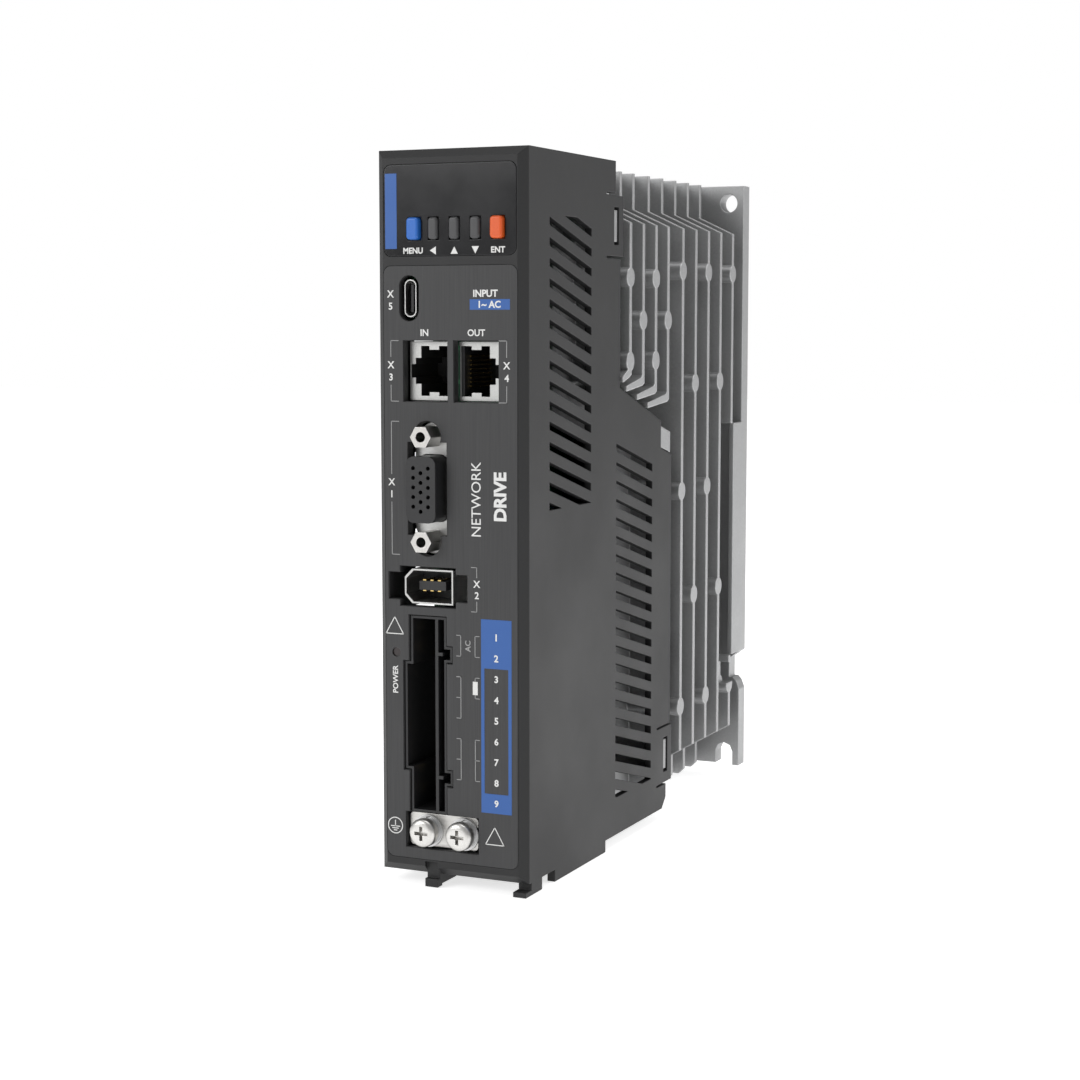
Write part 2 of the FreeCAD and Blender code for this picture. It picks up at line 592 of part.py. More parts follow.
def plunger(name, x):
    """The tact switch's own button, which the key's stem pushes."""
    item = rod((x, "display_board_y - switch_thick - 1", "key_z"), "plunger_radius", "1.6")
    return node(item, name)


def tact_switches():
    parts = []
    for x, wide, proud in key_spots():
        case = box(("%s - switch_size / 2" % x, "display_board_y - switch_thick", "key_z - switch_size / 2"),
                   ("switch_size", "switch_thick", "switch_size"))
        well = rod((x, "display_board_y - switch_thick - 1", "key_z"), "plunger_radius + plunger_gap",
                   "switch_thick + 0.7")
        parts.append(cut(case, well))
    return node(group(*parts), "tact_switches")


def display_board():
    board = box(("-display_board_half", "display_board_y", "display_board_low"),
                ("display_board_half * 2", "board_thick", "display_board_high - display_board_low"))
    return node(board, "display_board")


def digit_display():
    item = box(("-digit_half", "display_board_y - digit_thick", "digit_low"),
               ("digit_half * 2", "digit_thick", "digit_high - digit_low"))
    return node(item, "digit_display")


def oblong_tube(radius, long, depth, name):
    """A solid with two round ends, upright, running back from the XZ plane."""
    body = new_body(name)
    sketch = sketch_on(body, "XZ_Plane")
    outline(sketch, oblong("-" + radius, "-(%s) / 2" % long, radius, "(%s) / 2" % long))
    feature(body, "Pad", sketch, depth, backward=True)
    dress(body, "Fillet", edges_where(body.Shape, lambda edge: along(edge, "y")), "(%s) * 0.96" % radius)
    return body


def usb_socket():
    outer = oblong_tube("usb_radius", "usb_long", "usb_depth", "usb_outer")
    inner = oblong_tube("(usb_radius - usb_wall)", "usb_long - usb_wall * 2", "usb_depth", "usb_inner")
    place(inner, ("0", "-usb_wall * 2", "0"))
    node(cut(outer, inner), "usb_shell", ("usb_x", "display_board_y - usb_depth", "usb_z"))
    tongue = box(("usb_x - 0.35", "display_board_y - usb_depth + 1", "usb_z - 3.3"),
                 ("0.7", "usb_depth - 1 - usb_wall * 2", "6.6"))
    node(tongue, "usb_tongue")


def across(side, start, size):
    """Low x of a span counted outward from the control board, on its left (-1) or right (1)."""
    if side > 0:
        return "control_x + jack_gap + %s" % start
    return "control_x - jack_gap - (%s) - (%s)" % (start, size)


def jack(side, name):
    """One network socket turned on its side, latch outward, with its shield."""
    middle = "jack_low + jack_tall / 2"

    def span(start, front, tall, size, depth):
        return box((across(side, start, size), front, "%s - (%s) / 2" % (middle, tall)), (size, depth, tall))

    inside = "jack_y + shield_thick"
    case = span("0.2 + shield_thick", inside, "jack_tall - 1", "jack_wide - 0.7", "jack_depth - 1")
    cavity = [span("plug_floor", "jack_y", "plug_tall", "plug_wide", "plug_depth"),
              span("plug_floor + plug_wide - 0.1", "jack_y", "latch_tall", "latch_deep + 0.1", "plug_depth"),
              span("plug_floor + plug_wide + latch_deep - 0.1", "jack_y", "catch_tall", "catch_deep + 0.1",
                   "plug_depth")]
    node(cut(case, *cavity), name + "_body")
    wrap = span("0.2", "jack_y", "jack_tall - 1 + shield_thick * 2", "jack_wide - 0.6", "jack_depth - 0.4")
    hollow = span("0.2 + shield_thick", inside, "jack_tall - 1", "jack_wide", "jack_depth - 1")
    face = "shield_thick * 2"
    mouth = [span("0", "jack_y - shield_thick", "plug_tall", "plug_floor + plug_wide", face),
             span("plug_floor", "jack_y - shield_thick", "latch_tall", "plug_wide + latch_deep", face),
             span("plug_floor", "jack_y - shield_thick", "catch_tall",
                  "plug_wide + latch_deep + catch_deep", face)]
    fingers = [box((across(side, "plug_floor + 2", "finger_wide"), "jack_y", "%s %s (plug_tall / 2) %s"
                    % (middle, sign, back)), ("finger_wide", "shield_thick", "finger_tall + 0.1"))
               for sign, back in (("+", "- finger_tall"), ("-", "- 0.1"))]
    node(fuse(cut(wrap, hollow, *mouth), *fingers), name + "_shield")


def jack_contacts():
    """Eight sprung wires in each network socket."""
    wires = []
    for side in (-1, 1):
        lean = FreeCAD.Rotation(FreeCAD.Vector(0, 0, 1), -8 * side)
        for index in range(8):
            start = "control_x + %d * (jack_gap + plug_floor + 0.1)" % side
            shift = "0" if side > 0 else "0.4"
            wires.append(box(("%s - %s" % (start, shift), "jack_y + 3",
                              "jack_low + jack_tall / 2 - 3.8 + 1.02 * %d" % index),
                             ("0.4", "9", "0.4"), lean))
    return node(group(*wires), "jack_contacts")


def io_body(name, wide, long, radius, front, depth):
    """A rounded upright block centred on the input-output socket."""
    body = new_body(name)
    sketch = sketch_on(body, "XZ_Plane")
    outline(sketch, oblong("-(%s) / 2" % wide, "-(%s) / 2" % long, "(%s) / 2" % wide, "(%s) / 2" % long))
    feature(body, "Pad", sketch, depth, backward=True)
    dress(body, "Fillet", edges_where(body.Shape, lambda edge: along(edge, "y")), radius)
    place(body, ("io_x", front, "io_z"))
    return body


def io_socket():
    """Fifteen-way high-density D socket: metal flange, black insert and two hexagonal jack posts."""
    plate = io_body("io_flange", "io_flange_wide", "io_flange_long", "2", "io_flange_y", "io_flange_thick")
    flange = fuse(plate, *[rod(("io_x", "io_flange_y", "io_z %s io_screw_pitch / 2" % sign), "io_boss_radius",
                               "io_flange_thick") for sign in "+-"])
    back = io_body("io_back", "io_flange_wide - 1.4", "io_collar_long + 1", "1.5", "io_flange_y + 0.4", "8")
    opening = io_body("io_open", "io_collar_wide + 0.1", "io_collar_long - 0.4", "2.2", "io_flange_y - 1",
                      "9.4")
    posts_bore = [rod(("io_x", "io_flange_y - 1", "io_z %s io_screw_pitch / 2" % sign), "io_screw_bore", "4")
                  for sign in "+-"]
    node(cut(fuse(flange, back), opening, *posts_bore), "io_shell")
    insert = io_body("io_insert", "io_collar_wide - 0.2", "io_collar_long - 0.8", "2",
                     "io_flange_y - io_collar_proud", "io_collar_proud + 5.2")
    holes = []
    pins = []
    for column in range(3):
        for row in range(5):
            x = "io_x + io_row * (%d - 1)" % column
            z = "io_z + io_pitch * (%d - 2) + io_pitch / 4 * %d" % (row, (1, -1, 1)[column])
            holes.append(rod((x, "io_flange_y - io_collar_proud - 1", z), "io_pin_radius", "18"))
            pins.append(rod((x, "io_flange_y + 1", z), "io_pin_radius * 0.96", "8"))
    node(cut(insert, *holes), "io_insert")
    node(group(*pins), "io_contacts")


def hexagon(name, flat, length):
    """A hexagonal bar pointing back from the XZ plane, flats upright."""
    body = new_body(name)
    sketch = sketch_on(body, "XZ_Plane")
    reach = "(%s) / 1.732" % flat
    outline(sketch, [("%s * %.4f" % (reach, math.cos(math.radians(60 * corner))),
                      "%s * %.4f" % (reach, math.sin(math.radians(60 * corner)))) for corner in range(6)])
    feature(body, "Pad", sketch, length, backward=True)
    return body


def io_posts():
    posts = []
    for index, sign in enumerate("+-"):
        z = "io_z %s io_screw_pitch / 2" % sign
        head = hexagon("post%d" % index, "io_screw_flat", "io_screw_proud")
        place(head, ("io_x", "io_flange_y - io_screw_proud", z))
        bore = rod(("io_x", "io_flange_y - io_screw_proud - 1", z), "io_screw_bore", "io_screw_proud + 2")
        posts.append(cut(head, bore))
    return node(group(*posts), "io_posts")


def encoder_outline(name, inset, depth):
    """The encoder socket's section: a rectangle with its left corners cut off."""
    body = new_body(name)
    sketch = sketch_on(body, "XZ_Plane")
    half = "(encoder_wide / 2 - %s)" % inset
    top = "(encoder_tall / 2 - %s)" % inset
    outline(sketch, [("-" + half, "-%s + encoder_nose" % top), ("-%s + encoder_nose" % half, "-" + top),
                     (half, "-" + top), (half, top), ("-%s + encoder_nose" % half, top),
                     ("-" + half, "%s - encoder_nose" % top)])
    feature(body, "Pad", sketch, depth, backward=True)
    return body


def encoder_socket():
    outer = encoder_outline("encoder_outer", "0", "encoder_depth")
    inner = encoder_outline("encoder_inner", "encoder_wall", "encoder_depth + 2")
    place(inner, ("0", "-1", "0"))
    node(cut(outer, inner), "encoder_shell", ("encoder_x", "encoder_y", "encoder_z"))
    back = encoder_outline("encoder_back", "encoder_wall", "4")
    tongue = box(("-3.6", "-7", "-1.1"), ("7.2", "7.5", "2.2"))
    insert = fuse(back, tongue)
    node(insert, "encoder_insert", ("encoder_x", "encoder_y + encoder_depth - 4", "encoder_z"))
    rows = [box(("encoder_x - 2.9 + 2 * %d" % column, "encoder_y + 2.6", "encoder_z %s" % z),
                ("0.8", "5", "0.3")) for column in range(3) for z in ("+ 1.1", "- 1.4")]
    node(group(*rows), "encoder_contacts")


def power_header():
    """Nine-way pluggable power header: pin cavity, a thin divider with two hooks, and the coding channel."""
    def block(x, z, wide, tall, front, depth):
        return box((x, front, z), (wide, depth, tall))

    case = fuse(*[block(*span, "0.5", "power_depth") for span in power_spans("case_inset")])
    floor = "power_low + case_inset + power_wall"
    tall = "power_tall - (case_inset + power_wall) * 2"
    cavity = block("power_left + case_inset + power_wall", floor,
                   "divider_x - power_left - case_inset - power_wall",
                   tall, "0", "power_cavity")
    bulge = block("power_left - bulge_wide + case_inset + power_wall", "bulge_low + case_inset + power_wall",
                  "bulge_wide + 0.1", "bulge_tall - (case_inset + power_wall) * 2", "0", "power_cavity")
    channel = block("divider_x + divider_thick", floor,
                    "power_left + power_wide - divider_x - divider_thick - case_inset - power_wall", tall,
                    "0",
                    "power_cavity")
    notches = [block("power_left + power_wide - 1", notch + " + case_inset + power_wall",
                     "coding_wide + 1 - case_inset - power_wall",
                     "coding_tall - (case_inset + power_wall) * 2", "0",
                     "power_cavity / 2") for notch in ("lower_notch", "upper_notch")]
    hooks = [block("divider_x + divider_thick / 2", notch + " + coding_tall / 2 - divider_thick / 2",
                   "coding_wide", "divider_thick", "0.5", "power_cavity / 2")
             for notch in ("lower_notch", "upper_notch")]
    pins = [block("pin_x - pin_size / 2", "first_pin_z + pin_pitch * %d - pin_size / 2" % index, "pin_size",
                  "pin_size", "power_depth - 3.5 - pin_long", "pin_long") for index in range(9)]
    node(cut(fuse(cut(case, cavity, bulge, channel, *notches), *hooks), *pins), "power_header")
    node(group(*pins), "power_pins")


def earth_plate():
    plate = rounded_plate("plate_left", "plate_low + 0.3", "plate_left + plate_wide",
                          "plate_low + plate_tall",
                          "plate_thick", "1")
    place(plate, ("0", "plate_y", "0"))
    tongue = box(("plate_left + plate_wide - 1.4", "plate_y + plate_thick - 1", "plate_low + 0.3"),
                 ("1.4", "10", "plate_tall - 0.3"))
    holes = [rod(("screw_x + screw_pitch * %d" % index, "0", "screw_z"), "tap_radius", "plate_thick + 4")
             for index in (0, 1)]
    return node(cut(fuse(plate, tongue), *holes), "earth_plate")


def earth_screw(name, index):
    """Pan-head screw with a crossed recess, turned about its own axis."""
    body = new_body(name)
    profile = sketch_on(body, "YZ_Plane")
    outline(profile, [("0", "0"), ("0", "head_radius - 0.8"), ("0.5", "head_radius - 0.1"),
                      ("1", "head_radius"), ("head_tall", "head_radius"), ("head_tall", "screw_radius"),
                      ("head_tall + screw_length - 0.8", "screw_radius"),
                      ("head_tall + screw_length", "screw_radius - 0.8"), ("head_tall + screw_length", "0")])
    turn = body.newObject("PartDesign::Revolution", "Turned")
    turn.Profile = profile
    turn.ReferenceAxis = (profile, ["H_Axis"])
    turn.Angle = 360
    doc.recompute()
    for wide, tall in (("recess_long", "recess_wide"), ("recess_wide", "recess_long")):
        slot = sketch_on(body, "XZ_Plane")
        outline(slot, oblong("-%s / 2" % wide, "-%s / 2" % tall, "%s / 2" % wide, "%s / 2" % tall))
        feature(body, "Pocket", slot, "recess_deep", backward=False)
    return node(body, name, ("screw_x + screw_pitch * %d" % index,
                             "plate_y - washer_thick - spring_thick - head_tall",
                             "screw_z"))


def captive_washers(name, index):
    """A split spring washer and a flat washer under one screw head."""
    x = "screw_x + screw_pitch * %d" % index
    flat_y = "plate_y - washer_thick"
    bore = rod((x, "plate_y - 5", "screw_z"), "screw_radius + washer_gap", "8")
    flat = cut(rod((x, flat_y, "screw_z"), "washer_radius", "washer_thick"), bore)
    spring = cut(rod((x, flat_y + " - spring_thick", "screw_z"), "spring_radius", "spring_thick"), bore,
                 box((x + " - 0.3", flat_y + " - spring_thick - 1", "screw_z"),
                     ("0.6", "spring_thick + 1", "5")))
    return node(group(flat, spring), name)


def power_board():
    """Upright board beside the left wall that carries the power parts."""
    board = box(("power_board_x", "power_board_front", "power_board_low"),
                ("board_thick", "power_board_long", "power_board_tall"))
    return node(board, "power_board")


def on_power_board(y, z, reach, long, tall):
    """A block standing on the power board's inner face."""
    return box(("power_board_x + board_thick", y, z), (reach, long, tall))


def bus_capacitors():
    cans = [rod(("power_board_x + board_thick", "cap_y", "cap_first_z + cap_pitch * %d" % index),
                "cap_radius",
                "cap_long", "x") for index in range(3)]
    return node(group(*cans), "bus_capacitors")


def power_module():
    """Inverter module clamped to the casting's plinth through a thermal pad."""
    pad = box(("plinth_left - pad_thick", "plinth_front + 1", "plinth_low + 1"),
              ("pad_thick", "plinth_long - 2", "plinth_tall - 2"))
    node(pad, "thermal_pad")
    module = box(("plinth_left - pad_thick - module_thick", "plinth_front + 3", "plinth_low + 4"),
                 ("module_thick", "plinth_long - 6", "plinth_tall - 8"))
    leads = [box(("power_board_x + board_thick", "plinth_front + %s" % y, "plinth_low + 8 + 4 * %d" % index),
                 ("plinth_left - pad_thick - module_thick - power_board_x - board_thick", "0.6", "1.2"))
             for index in range(9) for y in ("4", "plinth_long - 4.6")]
    node(fuse(module, *leads), "power_module")


BOARD_FIXINGS = [("90", "12"), ("138", "12"), ("90", "120"), ("140", "156")]


def power_parts():
    """Rectifier, inrush relay, supply transformer, filter choke, brake resistor and heat shield film."""
    node(on_power_board("98", "124", "5", "22", "16"), "bridge_rectifier")
    node(on_power_board("122", "124", "11", "16", "20"), "inrush_relay")
    core = on_power_board("100", "22", "12", "20", "24")
    winding = box(("power_board_x + board_thick + 2", "96", "25"), ("9", "28", "18"))
    node(fuse(core, winding), "supply_transformer")
    ring_core = cut(rod(("power_board_x + board_thick", "134", "38"), "8", "9", "x"),
                    rod(("power_board_x + board_thick - 1", "134", "38"), "3.4", "11", "x"))
    node(ring_core, "filter_choke")
    node(on_power_board("86", "150", "9", "46", "10"), "brake_resistor")
    film = box(("base_left - 0.5", "base_front_high + 2", "step_high + 10"), ("0.3", "90", "52"))
    holes = [rod(("base_left - 2", y, z), "standoff_radius + gap", "3", "x") for y, z in BOARD_FIXINGS[2:]]
    node(cut(film, *holes), "insulating_film")


def control_board():
    board = box(("control_x - board_thick / 2", "control_front", "control_low"),
                ("board_thick", "control_long", "control_tall"))
    notch = box(("control_x - board_thick", "0", "control_low - 1"),
                ("board_thick * 2", "encoder_y + encoder_depth + gap",
                 "encoder_z + encoder_tall / 2 + gap - control_low + 1"))
    return node(cut(board, notch), "control_board")


def board_parts():
    """Processor and network chips on the control board, and the link to the power board."""
    right = "control_x + board_thick / 2"
    chips = [box((right, "24", "80"), ("1.4", "14", "14")), box((right, "26", "100"), ("1.2", "9", "9")),
             box((right, "8", "84"), ("1.2", "8", "6")), box((right, "18", "67"), ("1.2", "9", "7"))]
    node(group(*chips), "control_chips")
    link = box(("power_board_x + board_thick", "30", "112"),
               ("control_x - board_thick / 2 - power_board_x - board_thick", "5", "14"))
    node(link, "board_link")


def charge_lamp():
    """Lamp on the power side and the light pipe that brings it to the front."""
    collar = rod(("lamp_x", "front_wall + 0.6", "lamp_z"), "pipe_radius + 0.4", "1.5")
    pipe = fuse(rod(("lamp_x", "0.4", "lamp_z"), "pipe_radius", "pipe_long"), collar)
    node(pipe, "charge_light_pipe")
    lamp = box(("power_board_x + board_thick", "0.7 + pipe_long", "lamp_z - 1.2"), ("2", "5", "2.4"))
    node(lamp, "charge_lamp")


def fixings():
    """Standoffs between casting and power board, and the screws that hold the boards."""
    posts = []
    screws = []
    for y, z in BOARD_FIXINGS:
        post = rod(("power_board_x + board_thick", y, z), "standoff_radius",
                   "base_left - power_board_x - board_thick", "x")
        posts.append(post)
        screws.append(rod(("power_board_x - 0.7", y, z), "2.2", "0.7", "x"))
    node(group(*posts), "board_standoffs")
    node(group(*screws), "board_screws")


def build():
    housing()
    heatsink()
    display_window()
    label_film()
    names = ("menu", "left", "up", "down", "enter")
    for name, (x, wide, proud) in zip(names, key_spots()):
        key("key_" + name, x, wide, proud)
        plunger("plunger_" + name, x)
    tact_switches()
    display_board()
    digit_display()
    usb_socket()
    jack(-1, "jack_in")
    jack(1, "jack_out")
    jack_contacts()
    io_socket()
    io_posts()
    encoder_socket()
    power_header()
    earth_plate()
    for index, side in enumerate(("left", "right")):
        earth_screw("earth_screw_" + side, index)
        captive_washers("earth_washers_" + side, index)
    power_board()
    bus_capacitors()
    power_module()
    power_parts()
    control_board()
    board_parts()
    charge_lamp()
    fixings()


def write_parts():
    """Check every object, then write one STEP file per sub-part."""
    failed = [item.Label for item in doc.Objects if set(item.State) & {"Invalid", "Error"}]
    failed += [item.Label for item in NODES if item.Shape.isNull() or not item.Shape.isValid()]
    if failed:
        raise RuntimeError("sub-parts that did not build: " + ", ".join(sorted(set(failed))))
    os.makedirs("parts", exist_ok=True)
    for item in NODES:
        item.Shape.exportStep(os.path.join("parts", item.Label + ".step"))


build()
doc.recompute()
write_parts()
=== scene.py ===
import bmesh
import bpy
import json
import math
from mathutils import Matrix, Vector


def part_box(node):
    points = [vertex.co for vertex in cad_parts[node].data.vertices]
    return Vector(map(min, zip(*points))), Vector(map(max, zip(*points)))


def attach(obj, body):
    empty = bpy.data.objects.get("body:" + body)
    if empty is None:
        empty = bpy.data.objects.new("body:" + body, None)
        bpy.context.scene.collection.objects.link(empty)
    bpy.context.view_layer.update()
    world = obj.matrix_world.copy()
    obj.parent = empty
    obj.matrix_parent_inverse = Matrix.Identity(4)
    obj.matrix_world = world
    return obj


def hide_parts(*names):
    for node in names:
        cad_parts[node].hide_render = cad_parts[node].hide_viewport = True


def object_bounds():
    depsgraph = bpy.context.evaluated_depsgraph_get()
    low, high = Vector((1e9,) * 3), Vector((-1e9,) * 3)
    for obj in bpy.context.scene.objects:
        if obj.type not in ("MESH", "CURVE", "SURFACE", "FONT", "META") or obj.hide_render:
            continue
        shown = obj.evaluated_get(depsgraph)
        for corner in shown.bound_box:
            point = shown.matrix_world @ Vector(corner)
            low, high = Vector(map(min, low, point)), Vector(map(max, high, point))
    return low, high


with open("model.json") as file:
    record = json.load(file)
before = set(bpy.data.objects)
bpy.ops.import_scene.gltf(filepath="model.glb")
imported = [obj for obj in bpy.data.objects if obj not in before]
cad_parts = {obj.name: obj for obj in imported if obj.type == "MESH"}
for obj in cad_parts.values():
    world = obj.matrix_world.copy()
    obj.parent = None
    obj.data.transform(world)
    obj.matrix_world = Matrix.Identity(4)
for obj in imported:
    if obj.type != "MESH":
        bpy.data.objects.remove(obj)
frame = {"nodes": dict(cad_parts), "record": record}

# Looks of a slim panel-mounted servo drive. Everything is in metres in the drive's own frame: x to the
# right seen from the front, y into the panel and z up, with the front face looking along -y.

MM = 0.001
CAD_BOX = [list(corner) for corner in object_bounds()]
NODES = frame["nodes"]
INK_THICK = 0.04 * MM
FACING_FRONT = Matrix.Rotation(math.radians(90), 4, "X")


# ---------------------------------------------------------------- materials

def new_material(name):
    material = bpy.data.materials.new(name)
    material.use_nodes = True
    return material, material.node_tree.nodes, material.node_tree.links


def add(nodes, kind, **values):
    """A shader node with its inputs set by name."""
    node = nodes.new("ShaderNode" + kind)
    for name, value in values.items():
        node.inputs[name.replace("_", " ")].default_value = value
    return node


def shade(colour, factor):
    return [min(1.0, channel * factor) for channel in colour] + [1.0]


def noise(nodes, links, place, size, detail=3.0, roughness=0.55):
    texture = add(nodes, "TexNoise", Scale=1.0 / size, Detail=detail, Roughness=roughness)
    links.new(place, texture.inputs["Vector"])
    return texture.outputs["Fac"]


def blend_colours(nodes, links, factor, dark, light):
    mix = nodes.new("ShaderNodeMix")
    mix.data_type = "RGBA"
    links.new(factor, mix.inputs["Factor"])
    for socket, colour in (("A", dark), ("B", light)):
        target = [item for item in mix.inputs if item.name == socket and item.type == "RGBA"][0]
        if isinstance(colour, bpy.types.NodeSocket):
            links.new(colour, target)
        else:
            target.default_value = colour
    return [item for item in mix.outputs if item.type == "RGBA"][0]


def mapped(nodes, links, value, low, high, start=0.3, stop=0.7):
    remap = add(nodes, "MapRange", From_Min=start, From_Max=stop, To_Min=low, To_Max=high)
    links.new(value, remap.inputs["Value"])
    return remap.outputs["Result"]


def worn_edges(nodes, links, radius):
    """How sharply the surface turns within a radius, and the softened normal there."""
    soft = add(nodes, "Bevel", Radius=radius)
    soft.samples = 6
    flat = nodes.new("ShaderNodeNewGeometry")
    dot = nodes.new("ShaderNodeVectorMath")
    dot.operation = "DOT_PRODUCT"
    links.new(soft.outputs["Normal"], dot.inputs[0])
    links.new(flat.outputs["Normal"], dot.inputs[1])
    turn = add(nodes, "MapRange", From_Min=0.995, From_Max=0.8, To_Min=0.0, To_Max=1.0)
    links.new(dot.outputs["Value"], turn.inputs["Value"])
    return turn.outputs["Result"], soft.outputs["Normal"]


def finish_material(name, colour, rough, metal=0.0, grain=0.3, spread=0.12, relief=0.02, patch=14.0,
                    rough_spread=0.05, stretch=(1, 1, 1), edge=0.0, wear=0.0, coat=0.0, level=0.5):
    """A moulded, cast, plated or printed surface.

    grain and patch are the sizes in mm of its fine texture and of its slow unevenness, relief is how deep
    the fine texture is in mm, edge is the radius in mm over which corners are softened, and wear how much
    lighter they are.
    """
    material, nodes, links = new_material(name)
    shader = nodes["Principled BSDF"]
    shader.inputs["Metallic"].default_value = metal
    shader.inputs["Coat Weight"].default_value = coat
    shader.inputs["Coat Roughness"].default_value = 0.12
    shader.inputs["Specular IOR Level"].default_value = level
    where = nodes.new("ShaderNodeTexCoord").outputs["Object"]
    scaled = add(nodes, "Mapping", Scale=stretch)
    links.new(where, scaled.inputs["Vector"])
    fine = noise(nodes, links, scaled.outputs["Vector"], grain * MM)
    slow = noise(nodes, links, where, patch * MM, detail=4.0)
    tone = blend_colours(nodes, links, mapped(nodes, links, fine, 0, 1), shade(colour, 1 - spread),
                         shade(colour, 1 + spread))
    tone = blend_colours(nodes, links, mapped(nodes, links, slow, 0, 0.5), tone,
                         shade(colour, 1 - spread / 2))
    bump = add(nodes, "Bump", Strength=1.0, Distance=relief * MM)
    links.new(fine, bump.inputs["Height"])
    if edge:
        turning, normal = worn_edges(nodes, links, edge * MM)
        links.new(normal, bump.inputs["Normal"])
        if wear:
            amount = nodes.new("ShaderNodeMath")
            amount.operation = "MULTIPLY"
            links.new(turning, amount.inputs[0])
            links.new(mapped(nodes, links, slow, wear * 0.4, wear), amount.inputs[1])
            tone = blend_colours(nodes, links, amount.outputs[0], tone, shade(colour, 2.6))
    links.new(tone, shader.inputs["Base Color"])
    gloss = mapped(nodes, links, slow, rough - rough_spread, rough + rough_spread)
    links.new(gloss, shader.inputs["Roughness"])
    links.new(bump.outputs["Normal"], shader.inputs["Normal"])
    return material


def window_material():
    """Smoked acrylic: almost black and polished, with a faint unevenness."""
    return finish_material("smoked_window", (0.012, 0.012, 0.013), 0.16, grain=5.0, spread=0.2, relief=0.002,
                           patch=9.0, rough_spread=0.04, edge=0.25, wear=0.25, level=0.35)


def board_material():
    """Solder mask over copper: green, with traces a little lighter than the ground between them."""
    material, nodes, links = new_material("solder_mask")
    shader = nodes["Principled BSDF"]
    where = nodes.new("ShaderNodeTexCoord").outputs["Object"]
    traces = add(nodes, "TexBrick", Scale=1 / (9 * MM), Mortar_Size=0.06, Row_Height=0.3, Brick_Width=0.9)
    traces.offset = 0.35
    traces.inputs["Color1"].default_value = (0.012, 0.085, 0.04, 1)
    traces.inputs["Color2"].default_value = (0.01, 0.06, 0.03, 1)
    traces.inputs["Mortar"].default_value = (0.03, 0.16, 0.07, 1)
    turned = add(nodes, "Mapping", Rotation=(0, math.radians(90), 0))
    links.new(where, turned.inputs["Vector"])
    links.new(turned.outputs["Vector"], traces.inputs["Vector"])
    weave = noise(nodes, links, where, 0.5 * MM)
    bump = add(nodes, "Bump", Strength=1.0, Distance=0.03 * MM)
    links.new(weave, bump.inputs["Height"])
    links.new(traces.outputs["Color"], shader.inputs["Base Color"])
    links.new(mapped(nodes, links, weave, 0.28, 0.42), shader.inputs["Roughness"])
    links.new(bump.outputs["Normal"], shader.inputs["Normal"])
    return material


def winding_material():
    """Varnished tape with the turns of enamelled wire showing through as level ribs."""
    material, nodes, links = new_material("taped_winding")
    shader = nodes["Principled BSDF"]
    where = nodes.new("ShaderNodeTexCoord").outputs["Object"]
    ribs = add(nodes, "TexWave", Scale=1 / (1.6 * MM), Distortion=0.6, Detail=2.0)
    ribs.bands_direction = "Z"
    links.new(where, ribs.inputs["Vector"])
    tone = blend_colours(nodes, links, ribs.outputs["Fac"], (0.2, 0.11, 0.02, 1), (0.5, 0.33, 0.07, 1))
    bump = add(nodes, "Bump", Strength=1.0, Distance=0.15 * MM)
    links.new(ribs.outputs["Fac"], bump.inputs["Height"])
    links.new(tone, shader.inputs["Base Color"])
    links.new(mapped(nodes, links, ribs.outputs["Fac"], 0.3, 0.5), shader.inputs["Roughness"])
    links.new(bump.outputs["Normal"], shader.inputs["Normal"])
    return material


BRUSHED_UP = (1, 1, 0.02)

